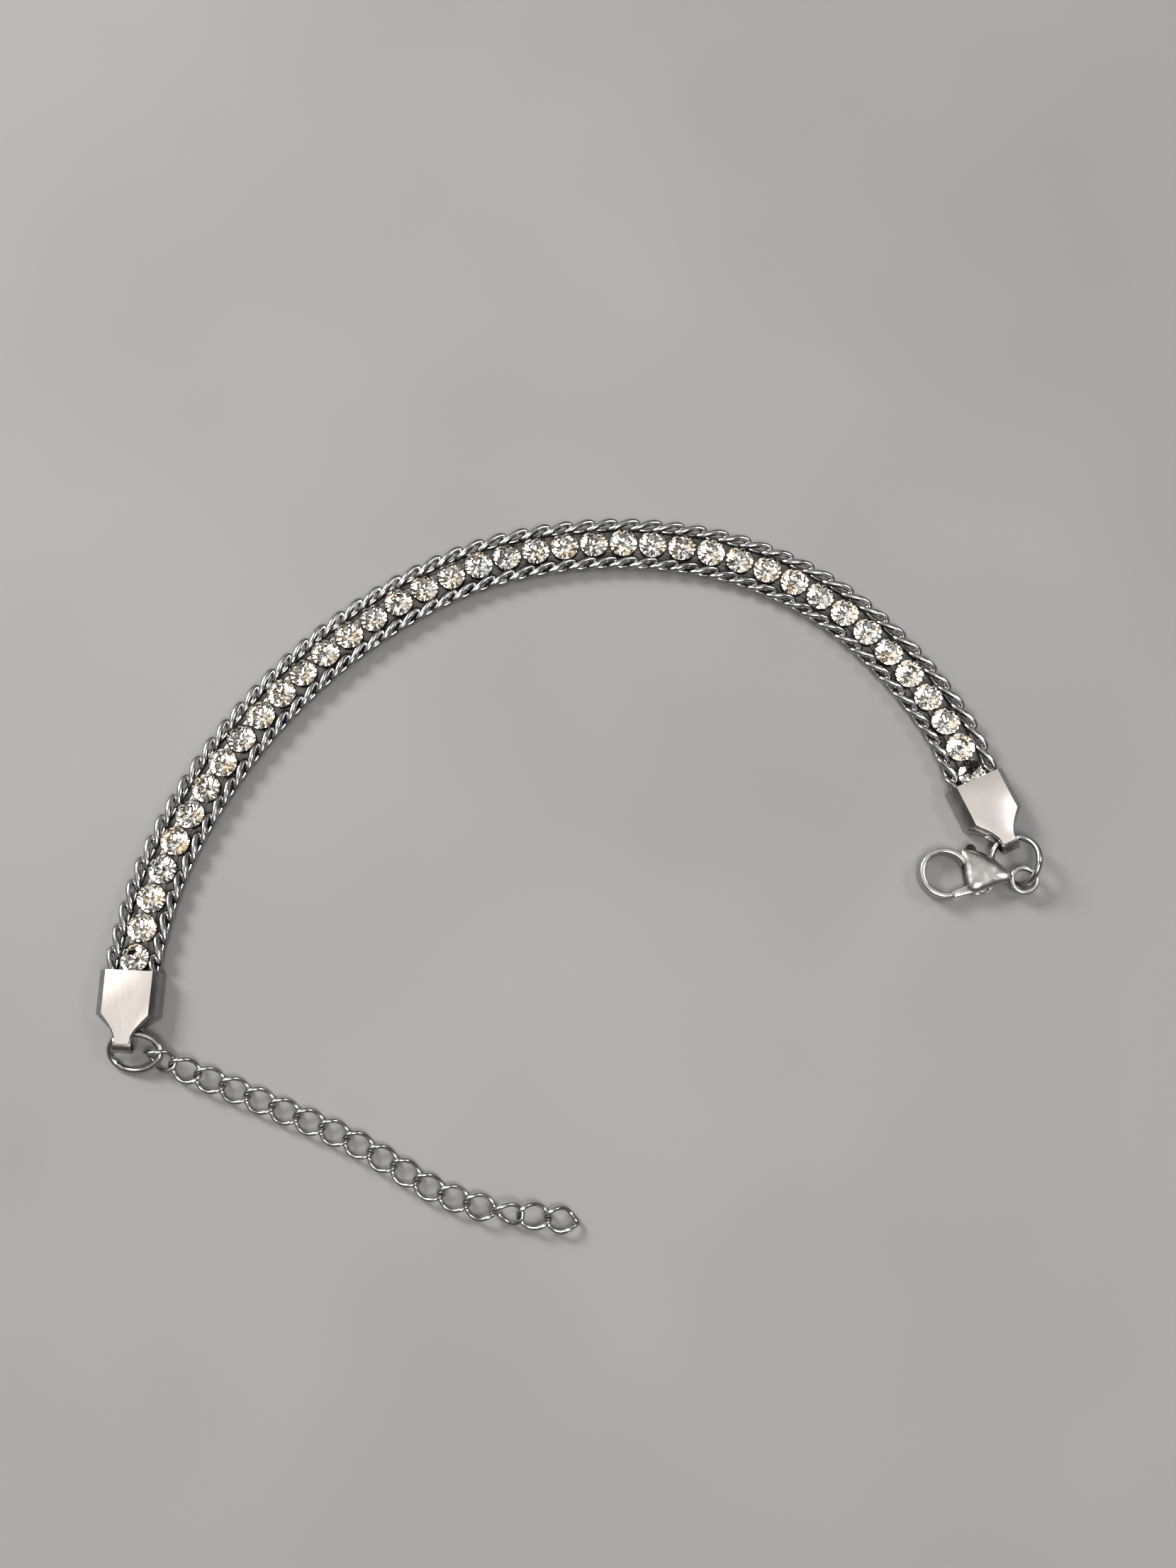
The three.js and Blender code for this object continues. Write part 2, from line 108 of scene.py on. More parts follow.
# End caps and jump rings. A cap's satin top is its faces that point up by at least LEVEL_FACE and
# lie within CAP_TOP_DEPTH of its height.
CAP_LENGTH = 7.8
CAP_HEIGHT = 3.2
CAP_TOP_DEPTH = 0.1
LEVEL_FACE = 0.999
LOOP_HEIGHT = 2.1
SHEET = 0.32
RING_WIRE = 0.74
LEFT_RING = dict(radius=2.82, depth=2.05, aside=1.12, back=-1.8, level=1.38,
                 slope=math.radians(23), climb_near=math.radians(-4), climb_far=math.radians(15))
RIGHT_RING = dict(radius=2.68, depth=2.68, aside=0.0, back=-1.2, level=1.95,
                  slope=math.radians(1.5), climb_near=math.radians(1), climb_far=math.radians(54))

# Extension chain
CHAIN_LINKS = 17
CHAIN_PITCH = 2.93
CHAIN_WIRE = 0.48
CHAIN_WIDTH = 3.0
CHAIN_TWIST = math.radians(45)
LINK_ROLLS = {0: math.radians(50), 1: math.radians(20), 14: math.radians(50)}
END_LINK_POINT = 0.6

# Clasp, in its own frame: x from the middle of the eye away from the hook
EYE_IN_RING = (0.12, 3.73)
CLASP_TURN = math.radians(-5.1)
CLASP_HEIGHT = 2.4
CLASP_CROWN = 2.62
EYE_RADIUS = 1.36
EYE_WALL = 0.6
EYE_HEIGHT = 0.84
EYE_LEVEL = 1.62
EYE_SOFTNESS = 0.75
HOOK_REACH = 8.74
HOOK_OUTER_RADIUS = 2.83
HOOK_WALL = 0.65
HOOK_HEIGHT = 2.0
HOOK_SOFTNESS = 0.42
HOOK_ROOT = math.radians(30)
HOOK_TIP = math.radians(291)
LEVER_KNOB = (-0.68 * HOOK_REACH, 0.338 * HOOK_REACH)
LEVER_PIVOT = (-4.6, -1.0)
KNOB_REACH = 0.7
CLASP_GAP_LOW = 0.62
CLASP_GAP_HIGH = 1.78
UPPER_EDGE_LEVEL = 2.0
LOWER_EDGE_LEVEL = 0.35
UPPER_CROWN = np.array([-4.3, -0.1])
LOWER_CROWN = np.array([-4.9, 0.35])
POST_BITE = 0.1
DOME_RINGS = 26

# Edges: roundings, the angles past which a shaded edge stays sharp, the angle from which an edge is
# rounded, and what counts as flat and as one place when a solid's triangles are merged
CAP_ROUNDING = 0.11
LEVER_ROUNDING = 0.2
WIRE_CREASE = math.radians(60)
CLASP_CREASE = math.radians(38)
CUP_CREASE = math.radians(35)
FOLD_CREASE = math.radians(30)
ROUNDED_FROM = math.radians(24)
FLAT_WITHIN = math.radians(1)
SAME_PLACE = 0.0001

# Metals: the two tints that each drifts between, and its handling marks
METALS = {
    "polished_steel": ((0.42, 0.41, 0.405), (0.34, 0.34, 0.345), dict(Low=0.14, High=0.24, Relief=0.15)),
    "cap_steel": ((0.36, 0.345, 0.335), (0.3, 0.29, 0.285), dict(Low=0.16, High=0.26, Relief=0.15)),
    # The cups' and plates' dark brownish tint is painted shade of the gaps between the stones.
    "cup_metal_painted_shade": ((0.15, 0.135, 0.122), (0.11, 0.102, 0.096), dict(Low=0.22, High=0.38, Relief=0.2)),
    # The knob's near-black tint is painted shade, not the steel's own colour.
    "knob_painted_shade_steel": ((0.02, 0.019, 0.018), (0.035, 0.033, 0.031), dict(Low=0.3, High=0.42, Relief=0.2)),
    "cast_steel": ((0.46, 0.445, 0.43), (0.38, 0.37, 0.36),
                   dict(Low=0.22, High=0.34, Relief=1.0, Pit_Size=0.6, Depth=0.12 * MM)),
}

# Light: the sky's tint by closeness to the window, the size and strengths of its panels, and the
# soft lights by name, place in metres, side in metres, power in watts and tint
WINDOW_DIRECTION = (-0.3, 0.3, 0.9)
SKY_TINTS = (
    (0.0, (0.13, 0.125, 0.12)), (0.62, (0.17, 0.16, 0.15)),
    (0.86, (0.7, 0.69, 0.68)), (1.0, (0.62, 0.62, 0.61)),
)
SKY_PANELS = 4.5
PANEL_STRENGTHS = (0.2, 1.9)
SOFT_LIGHTS = (
    ("key", (-0.36, 0.3, 0.36), 0.2, 5.0, (1.0, 0.97, 0.93)),
    ("fill", (0.34, 0.1, 0.4), 0.12, 0.8, (0.95, 0.97, 1.0)),
    ("front", (0.04, -0.16, 0.42), 0.14, 1.5, (1.0, 0.97, 0.92)),
)
FLOOR_HALF_SIDE = 1200

# Where the piece lies, before the shift that centres it: the band, then the extension chain
BAND_ROUTE = np.array([
    [-49.7, -24.7, 0], [-49.5, -21.0, 0], [-47.3, -10.9, 0], [-43.0, -1.4, 0], [-37.1, 7.4, 0],
    [-29.9, 15.0, 0], [-21.6, 21.2, 0], [-12.5, 25.7, 0], [-2.5, 28.0, 0], [7.7, 28.2, 0],
    [17.8, 26.2, 0], [26.9, 21.7, 0], [34.5, 14.9, 0], [40.6, 6.4, 0], [43.4, -0.6, 0],
    [44.8, -3.7, 0],
])
CHAIN_ROUTE = np.array([
    [-46.1, -30.9, 1.4], [-43.4, -32.05, 1.15], [-40.7, -33.1, 0.9], [-37.7, -34.3, 0.75],
    [-31.9, -36.7, 0.72], [-26.4, -39.0, 0.72], [-21.1, -41.8, 0.72], [-15.9, -44.8, 0.72],
    [-10.5, -46.6, 1.0], [-7.5, -47.1, 1.25], [-4.5, -47.4, 1.0], [-1.4, -47.9, 0.75],
])


# Vectors, routes and frames

def unit(vectors):
    return vectors / np.linalg.norm(vectors, axis=-1, keepdims=True)


def smooth_step(share):
    share = np.clip(share, 0, 1)
    return share * share * (3 - 2 * share)


def smooth_route(points, samples=60):
    """Centripetal Catmull-Rom curve: between two points a cubic whose end slopes come from the
    neighbours, weighed by the square roots of the gaps. Past each end a point is mirrored."""
    points = np.vstack([2 * points[0] - points[1], points, 2 * points[-1] - points[-2]])
    gap = np.sqrt(np.linalg.norm(np.diff(points, axis=0), axis=1))[:, None]
    before, here, after = gap[:-2], gap[1:-1], gap[2:]
    first, start, end, last = points[:-3], points[1:-2], points[2:-1], points[3:]
    leave = here * ((start - first) / before - (end - first) / (before + here) + (end - start) / here)
    arrive = here * ((end - start) / here - (last - start) / (here + after) + (last - end) / after)
    t = np.linspace(0, 1, samples, endpoint=False)[:, None, None]
    curve = (2 * t**3 - 3 * t**2 + 1) * start + (t**3 - 2 * t**2 + t) * leave
    curve = curve + (3 * t**2 - 2 * t**3) * end + (t**3 - t**2) * arrive
    return np.vstack([curve.transpose(1, 0, 2).reshape(-1, 3), points[-2]])


def run_of(curve):
    """Distance from the start to each point of a curve."""
    return np.concatenate([[0], np.cumsum(np.linalg.norm(np.diff(curve, axis=0), axis=1))])


def follow(curve, distances):
    """Places and directions on a curve at the given distances from its start."""
    run = run_of(curve)
    heading = np.gradient(curve, run, axis=0)
    places = np.stack([np.interp(distances, run, curve[:, k]) for k in range(3)], axis=-1)
    ahead = np.stack([np.interp(distances, run, heading[:, k]) for k in range(3)], axis=-1)
    return places, unit(ahead)


def put_in_frames(shape, origins, along, across, rise):
    """Carries a shape into each frame: its x runs along, its y across and its z up the frame."""
    axes = np.stack([along, across, np.broadcast_to(rise, along.shape)], axis=-2)
    return origins[:, None] + shape.reshape(1, -1, 3) @ axes


band_curve = smooth_route(BAND_ROUTE)
band_length = run_of(band_curve)[-1]
stone_count = sum(name.startswith("stone_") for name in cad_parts)
first_stone = GRIP_LENGTH + STONE_INSET
stone_pitch = (band_length - 2 * first_stone) / (stone_count - 1)


def unshifted_band_frames(distances):
    """Frames along the band, raised near the caps by a smooth step over the fall length."""
    places, along = follow(band_curve, distances)
    from_end = np.minimum(distances, band_length - distances) - GRIP_LENGTH
    places[..., 2] += END_LIFT * (1 - smooth_step(from_end / FALL_LENGTH))
    return places, along, np.cross(UP, along)


def centring_shift():
    """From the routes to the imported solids: the middle stone's place there less its place here."""
    middle = stone_count // 2
    low, high = (np.array(corner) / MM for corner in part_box(f"stone_{middle + 1:02d}"))
    place = unshifted_band_frames(np.array([first_stone + middle * stone_pitch]))[0][0]
    shift = (low + high) / 2 - place
    shift[2] = 0
    return shift


SHIFT = centring_shift()


def band_frames(distances):
    places, along, across = unshifted_band_frames(np.asarray(distances, float))
    return places + SHIFT, along, across


def stone_frames(steps):
    return band_frames(first_stone + np.asarray(steps, float) * stone_pitch)


def cap_frame(mouth_distance, end_distance):
    """Frame of an end cap on the table: y runs out of the band, x to the right of it."""
    mouth, end = band_frames([mouth_distance, end_distance])[0]
    outwards = unit((end - mouth) * [1, 1, 0])
    aside = np.cross(outwards, UP)
    return (mouth * [1, 1, 0])[None], aside[None], outwards[None]


LEFT_CAP = cap_frame(GRIP_LENGTH, 0)
RIGHT_CAP = cap_frame(band_length - GRIP_LENGTH - RIGHT_COVER, band_length)
BORE_FRONT = CAP_LENGTH + LOOP_HEIGHT / 2 - SHEET


def in_cap(shape, cap):
    return put_in_frames(shape, *cap, UP)[0].reshape(shape.shape)


def in_clasp(shape):
    origin = in_cap(np.array([[EYE_IN_RING[0], BORE_FRONT + EYE_IN_RING[1], 0]]), RIGHT_CAP)
    along = np.array([[math.cos(CLASP_TURN), math.sin(CLASP_TURN), 0]])
    return put_in_frames(shape, origin, along, np.cross(UP, along), UP)[0].reshape(shape.shape)


# Meshes from whole arrays

def grid_faces(rows, columns, wrap_rows=False, wrap_columns=False):
    """Four-cornered faces of a grid of points, corner order (row, column), (row, next column),
    (next row, next column), (next row, column)."""
    index = np.arange(rows * columns).reshape(rows, columns)
    if wrap_rows:
        index = np.vstack([index, index[:1]])
    if wrap_columns:
        index = np.hstack([index, index[:, :1]])
    corners = [index[:-1, :-1], index[:-1, 1:], index[1:, 1:], index[1:, :-1]]
    return np.stack(corners, axis=-1).reshape(-1, 4)


def fan_faces(rim, hub):
    """Three-cornered faces from each edge of a closed rim to one hub point."""
    return np.stack([rim, np.roll(rim, -1), np.full(len(rim), hub)], axis=-1)


def repeat_faces(faces, copies, size):
    """The same faces on each of many copies that hold size points each."""
    return (faces[None] + size * np.arange(copies)[:, None, None]).reshape(-1, faces.shape[1])


def join_parts(parts):
    """One list of points and of face arrays from several (points, face arrays)."""
    points = []
    faces = []
    start = 0
    for part_points, part_faces in parts:
        flat = part_points.reshape(-1, 3)
        points.append(flat)
        faces.extend(block + start for block in part_faces)
        start += len(flat)
    return np.vstack(points), faces


def mesh_from_arrays(name, points, faces):
    """Writes points in millimetres and blocks of faces into a mesh in metres."""
    mesh = bpy.data.meshes.new(name)
    corners = np.concatenate([block.ravel() for block in faces]).astype(np.int32)
    sizes = np.concatenate([np.full(len(block), block.shape[1]) for block in faces])
    starts = np.concatenate([[0], np.cumsum(sizes)[:-1]]).astype(np.int32)
    mesh.vertices.add(len(points))
    mesh.vertices.foreach_set("co", (points * MM).astype(np.float32).ravel())
    mesh.loops.add(len(corners))
    mesh.loops.foreach_set("vertex_index", corners)
    mesh.polygons.add(len(sizes))
    mesh.polygons.foreach_set("loop_start", starts)
    mesh.update(calc_edges=True)
    mesh.validate()
    return mesh


def shade(mesh, sharp_angle):
    """Smooth shading broken at edges sharper than an angle. None leaves every facet flat."""
    mesh.polygons.foreach_set("use_smooth", np.full(len(mesh.polygons), sharp_angle is not None))
    if sharp_angle is not None:
        mesh.set_sharp_from_angle(angle=sharp_angle)


def add_piece(name, mesh, materials, replaced, body="root"):
    piece = bpy.data.objects.new(name, mesh)
    bpy.context.scene.collection.objects.link(piece)
    for material in materials:
        mesh.materials.append(material)
    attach(piece, body)
    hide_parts(*replaced)
    return piece


# Shapes

def tube(centres, wire, sides):
    """Wire along closed centre lines: at each point a circle square to the line, whose first
    spoke points away from the middle of the loop."""
    ahead = unit(np.roll(centres, -1, axis=-2) - np.roll(centres, 1, axis=-2))
    spoke = centres - centres.mean(axis=-2, keepdims=True)
    spoke = unit(spoke - (spoke * ahead).sum(axis=-1, keepdims=True) * ahead)
    side = np.cross(ahead, spoke)
    turn = (np.arange(sides) / sides * 2 * math.pi)[:, None]
    ring = np.cos(turn) * spoke[..., None, :] + np.sin(turn) * side[..., None, :]
    return centres[..., None, :] + wire / 2 * ring


def tubes_part(centres, wire, sides):
    """Closed wires for an array of loops, (loops, points, 3)."""
    points = tube(centres, wire, sides)
    loops, steps = centres.shape[:2]
    return points, [repeat_faces(grid_faces(steps, sides, True, True), loops, steps * sides)]


def curb_loops(half_length, half_width, rolls, twist, samples, draws=0.0):
    """Twisted oval links: x = a cos u, and b sin u laid out at the angle roll - twist cos u
    about x. A drawn link has its width cut by draw cos2 u on its far half."""
    u = np.linspace(0, 2 * math.pi, samples, endpoint=False)
    width = half_width * np.sin(u) * (1 - np.asarray(draws)[..., None] * np.maximum(0, np.cos(u))**2)
    angle = np.asarray(rolls)[..., None] - twist * np.cos(u)
    length = np.broadcast_to(half_length * np.cos(u), angle.shape)
    return np.stack([length, width * np.cos(angle), width * np.sin(angle)], axis=-1)


def row_part(side):
    """One row of curb links: the same link, turned a little about the vertical, is carried to
    equal steps beside the band."""
    pitch = band_length / ROW_LINKS
    origins, along, across = band_frames((np.arange(ROW_LINKS) + 0.5) * pitch)
    stretch = np.linalg.norm(np.gradient(origins + side * ROW_OFFSET * across, axis=0), axis=1) / pitch
    origins = origins + side * ROW_OFFSET * across + ROW_MIDDLE * UP
    loop = curb_loops((pitch + ROW_WIRE) / 2, ROW_HALF_WIDTH, ROW_ROLL, ROW_TWIST, samples=36)
    x, y, z = np.moveaxis(loop, -1, 0)
    loop = np.stack([x, y + x * math.tan(ROW_YAW), z], axis=-1)
    centres = put_in_frames(loop, origins, along * stretch[:, None], across, UP)
    return tubes_part(centres, ROW_WIRE, sides=12)


def chain_part():
    """The extension chain: each link follows the route at its own roll, and is raised where it
    would reach below the table."""
    curve = smooth_route(CHAIN_ROUTE) + SHIFT
    origins, along = follow(curve, np.minimum(np.arange(CHAIN_LINKS) * CHAIN_PITCH, run_of(curve)[-1]))
    across = unit(np.cross(UP, along))
    rolls = np.zeros(CHAIN_LINKS)
    rolls[list(LINK_ROLLS)] = list(LINK_ROLLS.values())
    draws = np.zeros(CHAIN_LINKS)
    draws[-1] = END_LINK_POINT
    half_width = (CHAIN_WIDTH - CHAIN_WIRE) / 2
    half_length = (CHAIN_PITCH + CHAIN_WIRE) / 2
    loops = curb_loops(half_length, half_width, rolls, CHAIN_TWIST, samples=56, draws=draws)
    axes = np.stack([along, across, np.cross(along, across)], axis=-2)
    centres = origins[:, None] + loops @ axes
    centres[..., 2] += np.maximum(0, CHAIN_WIRE / 2 - centres[..., 2].min(axis=1))[:, None]
    return tubes_part(centres, CHAIN_WIRE, sides=14)


def jump_ring_part(cap, radius, depth, aside, back, level, slope, climb_near, climb_far):
    """An oval ring in a plane that slopes from the cap's loop. The wire climbs across the ring by one
    angle at the loop and another at the far side."""
    u = np.linspace(0, 2 * math.pi, 96, endpoint=False)
    climb = climb_near + (climb_far - climb_near) * (1 - np.sin(u)) / 2
    reach = radius * np.cos(u)
    centres = np.stack([
        -aside - reach * np.cos(climb),
        BORE_FRONT + back + depth * math.cos(slope) * (1 - np.sin(u)),
        level + depth * np.sin(u) * math.sin(slope) + reach * np.sin(climb),
    ], axis=-1)
    return tubes_part(in_cap(centres, cap)[None], RING_WIRE, sides=24)


def brilliant():
    """A round cut stone in rings of corners: table, star tips, girdle edges, lower tips, culet.
    The tips lie in the planes of the eight kite facets above and below the girdle."""
    spokes = np.arange(8) / 8 * 2 * math.pi
    halfway = spokes + math.pi / 8
    sixteen = np.arange(16) / 16 * 2 * math.pi
    table = TABLE_SHARE * STONE_RADIUS
    table_edge = table * math.cos(math.pi / 8)
    star = table_edge + STAR_SHARE * (STONE_RADIUS - table_edge)
    star_level = CROWN_HEIGHT * (STONE_RADIUS - star * math.cos(math.pi / 8)) / (STONE_RADIUS - table)
    depth = STONE_RADIUS * math.tan(PAVILION_ANGLE)
    lower = LOWER_FACET_SHARE * STONE_RADIUS
    lower_level = -depth * (1 - lower * math.cos(math.pi / 8) / STONE_RADIUS)

    def ring(angles, radius, level):
        levels = np.full(len(angles), level)
        return np.stack([radius * np.cos(angles), radius * np.sin(angles), levels], -1)

    points = np.vstack([
        ring(spokes, table, CROWN_HEIGHT), ring(halfway, star, star_level),
        ring(sixteen, STONE_RADIUS, GIRDLE_EDGE / 2), ring(sixteen, STONE_RADIUS, -GIRDLE_EDGE / 2),
        ring(halfway, lower, lower_level - GIRDLE_EDGE / 2), [[0, 0, -depth - GIRDLE_EDGE / 2]],
    ])

    # Corners by number: table from 0, star tips from 8, upper edge of the girdle from 16, its lower
    # edge from 32, lower tips from 48, culet 56
    k = np.arange(8)
    after = (k + 1) % 8
    edge = np.arange(16)
    next_edge = (edge + 1) % 16
    table_face = k[None]
    stars = np.stack([k, 8 + k, after], -1)
    kites = np.stack([k, 8 + (k - 1) % 8, 16 + 2 * k, 8 + k], -1)
    upper_halves = np.vstack([
        np.stack([8 + k, 16 + 2 * k, 16 + 2 * k + 1], -1),
        np.stack([8 + k, 16 + 2 * k + 1, 16 + 2 * after], -1),
    ])
    girdle = np.stack([16 + edge, 32 + edge, 32 + next_edge, 16 + next_edge], -1)
    lower_halves = np.vstack([
        np.stack([48 + k, 32 + 2 * k + 1, 32 + 2 * k], -1),
        np.stack([48 + k, 32 + 2 * after, 32 + 2 * k + 1], -1),
    ])
    mains = np.stack([np.full(8, 56), 48 + k, 32 + 2 * k, 48 + (k - 1) % 8], -1)
    return points, [table_face, stars, kites, upper_halves, girdle, lower_halves, mains]


def stone_parts():
    """Every stone turned about its own axis by its own angle, and leant along and across the band
    by a sine and a cosine of its number."""
    points, faces = brilliant()
    count = np.arange(stone_count)
    turn = STONE_TURN * count
    lean = STONE_LEAN * np.sin(1.7 * count + 0.4)
    lean_side = STONE_LEAN * np.cos(2.3 * count)
    origins, along, across = stone_frames(count)
    turned_along = np.cos(turn)[:, None] * along + np.sin(turn)[:, None] * across
    rise = unit(UP + np.sin(lean)[:, None] * along + np.sin(lean_side)[:, None] * across)
    turned_along = unit(turned_along - (turned_along * rise).sum(axis=1, keepdims=True) * rise)
    origins = origins + GIRDLE_LEVEL * UP
    placed = put_in_frames(points, origins, turned_along, np.cross(rise, turned_along), rise)
    return placed, faces


def cup_chain_part():
    """Cups turned about Z from a profile of radius against level, and under each gap between
    two cups a thin plate with rounded ends that joins them."""
    rim = STONE_RADIUS + STONE_PLAY
    lip = (CUP_RADIUS + rim) / 2
    profile = np.array([
        [0, CUP_FOOT_LEVEL], [CUP_FOOT_RADIUS - FOOT_CHAMFER_IN, CUP_FOOT_LEVEL],
        [CUP_FOOT_RADIUS, CUP_FOOT_LEVEL + FOOT_CHAMFER_UP],
        [CUP_RADIUS - CUP_ROUNDING, CUP_SHOULDER_LEVEL - CUP_ROUNDING],
        [CUP_RADIUS, CUP_SHOULDER_LEVEL + CUP_ROUNDING], [CUP_RADIUS, GIRDLE_LEVEL - CUP_ROUNDING],
        [CUP_RADIUS - LIP_STEP_IN, GIRDLE_LEVEL + LIP_RISES[0]], [lip, GIRDLE_LEVEL + LIP_RISES[1]],
        [rim, GIRDLE_LEVEL + LIP_RISES[2]], [rim, GIRDLE_LEVEL - LIP_DEPTH],
        [CUP_FOOT_RADIUS, GIRDLE_LEVEL - SEAT_EDGE_DEPTH], [0, GIRDLE_LEVEL - SEAT_POINT_DEPTH],
    ])
    turn = np.arange(CUP_SIDES) / CUP_SIDES * 2 * math.pi
    ring = np.stack([np.cos(turn), np.sin(turn)], axis=-1)
    body = np.empty((len(profile), CUP_SIDES, 3))
    body[..., :2] = profile[:, None, :1] * ring
    body[..., 2] = profile[:, None, 1]
    cups = put_in_frames(body, *stone_frames(np.arange(stone_count)), UP)
    cup_grid = grid_faces(len(profile), CUP_SIDES, False, True)
    cup_faces = repeat_faces(cup_grid, stone_count, body[..., 0].size)

    outline = np.abs(ring)**PLATE_SOFTNESS * np.sign(ring) * [PLATE_LENGTH / 2, PLATE_WIDTH / 2]
    # From the middle of the plate's underside round its bevelled edge to the middle of its top
    levels = np.array([-0.5, -0.5, -0.4, 0.4, 0.5, 0.5]) * PLATE_THICKNESS + PLATE_LEVEL
    shares = np.array([0, 0.94, 1, 1, 0.94, 0])
    plate = np.empty((len(levels), CUP_SIDES, 3))
    plate[..., :2] = shares[:, None, None] * outline
    plate[..., 2] = levels[:, None]
    gaps = stone_count - 1
    plates = put_in_frames(plate, *stone_frames(np.arange(gaps) + 0.5), UP)
    plate_grid = grid_faces(len(levels), CUP_SIDES, False, True)
    plate_faces = repeat_faces(plate_grid, gaps, plate[..., 0].size)
    return join_parts([(cups, [cup_faces]), (plates, [plate_faces])])


def soft_box_section(width, height, softness, samples):
    """Outline of a bar with rounded corners: a circle whose sine and cosine are raised to a
    power below one, which pushes it out to its box."""
    turn = np.arange(samples) / samples * 2 * math.pi
    circle = np.stack([np.cos(turn), np.sin(turn)], axis=-1)
    return np.sign(circle) * np.abs(circle)**softness * [width / 2, height / 2]


def hook_part():
    """The hook: a tall thin bar with rounded corners swept along an arc, closed at both ends."""
    steps, sides = 72, 32
    section = soft_box_section(HOOK_WALL, HOOK_HEIGHT, HOOK_SOFTNESS, sides)
    angle = np.linspace(HOOK_ROOT, HOOK_TIP, steps)
    radius = HOOK_OUTER_RADIUS - HOOK_WALL / 2 + section[:, 0]
    points = np.stack([
        -HOOK_REACH + radius * np.cos(angle)[:, None],
        radius * np.sin(angle)[:, None],
        np.broadcast_to(CLASP_HEIGHT / 2 + section[:, 1], (steps, sides)),
    ], axis=-1)
    hubs = np.array([points[0].mean(axis=0), points[-1].mean(axis=0)])
    points = np.vstack([points.reshape(-1, 3), hubs])
    start = np.arange(sides)
    end = (steps - 1) * sides + start
    ends = [fan_faces(start[::-1], steps * sides), fan_faces(end, steps * sides + 1)]
    return in_clasp(points), [grid_faces(steps, sides, False, True)[:, ::-1]] + ends


def eye_part():
    """The eye: a rounded bar swept round a full circle."""
    steps, sides = 72, 24
    section = soft_box_section(EYE_WALL, EYE_HEIGHT, EYE_SOFTNESS, sides)
    angle = np.arange(steps) / steps * 2 * math.pi
    radius = EYE_RADIUS + section[:, 0]
    points = np.stack([
        radius * np.cos(angle)[:, None],
        radius * np.sin(angle)[:, None],
        np.broadcast_to(EYE_LEVEL + section[:, 1], (steps, sides)),
    ], axis=-1)
    return in_clasp(points), [grid_faces(steps, sides, True, True)[:, ::-1]]


# Outlines of the clasp's plates, in its own frame
UPPER_PLATE = np.array([
    [-7.0, 2.66], [-6.3, 2.86], [-5.3, 2.76], [-4.2, 2.4], [-3.2, 1.85], [-2.3, 1.15], [-1.45, 0.5],
    [-1.35, 0.0], [-1.6, -0.36], [-2.6, -0.72], [-3.6, -1.2], [-4.6, -1.66], [-5.4, -1.9],
    [-5.95, -1.72], [-6.25, -1.2], [-6.45, -0.2], [-6.68, 1.1],
])
LOWER_PLATE = np.array([
    [-7.0, 2.66], [-6.3, 2.8], [-5.3, 2.6], [-4.4, 2.1], [-3.85, 1.4], [-3.55, 0.4], [-3.2, -0.5],
    [-3.4, -1.3], [-4.4, -1.74], [-5.3, -1.9], [-5.95, -1.72], [-6.25, -1.2], [-6.45, -0.2],
    [-6.68, 1.1],
])
REAR_POST = np.array([
    [-3.7, 1.4], [-3.62, 0.4], [-3.3, -0.5], [-3.4, -1.2], [-3.75, -1.5], [-3.74, -0.5], [-3.74, 0.6],
])


def closed_outline(corners, samples):
    """A smooth closed curve through corners: the route through three rounds of them, of which
    the middle round is kept."""
    rounds = np.vstack([corners, corners, corners, corners[:1]])
    curve = smooth_route(np.column_stack([rounds, np.zeros(len(rounds))]), samples)
    count = samples * len(corners)
    return curve[count:2 * count, :2]


def plate_part(corners, flat_level, edge_level, crown_level, middle):
    """A domed plate. From the middle of its flat side the outline grows to full size, climbs to
    the edge level, and closes over the middle on (1 - share cubed) to the power three quarters,
    which is steep at the edge and level at the middle."""
    outline = closed_outline(corners, samples=6)[::-1]
    shares = np.concatenate([[0, 1], 1 - np.linspace(0, 1, DOME_RINGS)**2])
    climb = (1 - shares**3)**0.75
    levels = edge_level + (crown_level - edge_level) * climb
    levels[:2] = flat_level
    points = np.empty((len(shares), len(outline), 3))
    points[..., :2] = middle + shares[:, None, None] * (outline - middle)
    points[..., 2] = levels[:, None]
    faces = grid_faces(len(shares), len(outline), False, True)
    if crown_level < flat_level:
        faces = faces[:, ::-1]
    return in_clasp(points), [faces]


def clasp_body_part():
    """Two domed plates, a post at the back that joins them, the hook and the eye."""
    upper = plate_part(UPPER_PLATE, CLASP_GAP_HIGH, UPPER_EDGE_LEVEL, CLASP_CROWN, UPPER_CROWN)
    lower = plate_part(LOWER_PLATE, CLASP_GAP_LOW, LOWER_EDGE_LEVEL, 0.0, LOWER_CROWN)
    post = plate_part(REAR_POST, CLASP_GAP_LOW - POST_BITE, CLASP_GAP_HIGH + POST_BITE / 2,
                      CLASP_GAP_HIGH + POST_BITE, REAR_POST.mean(axis=0))
    return join_parts([upper, lower, post, hook_part(), eye_part()])


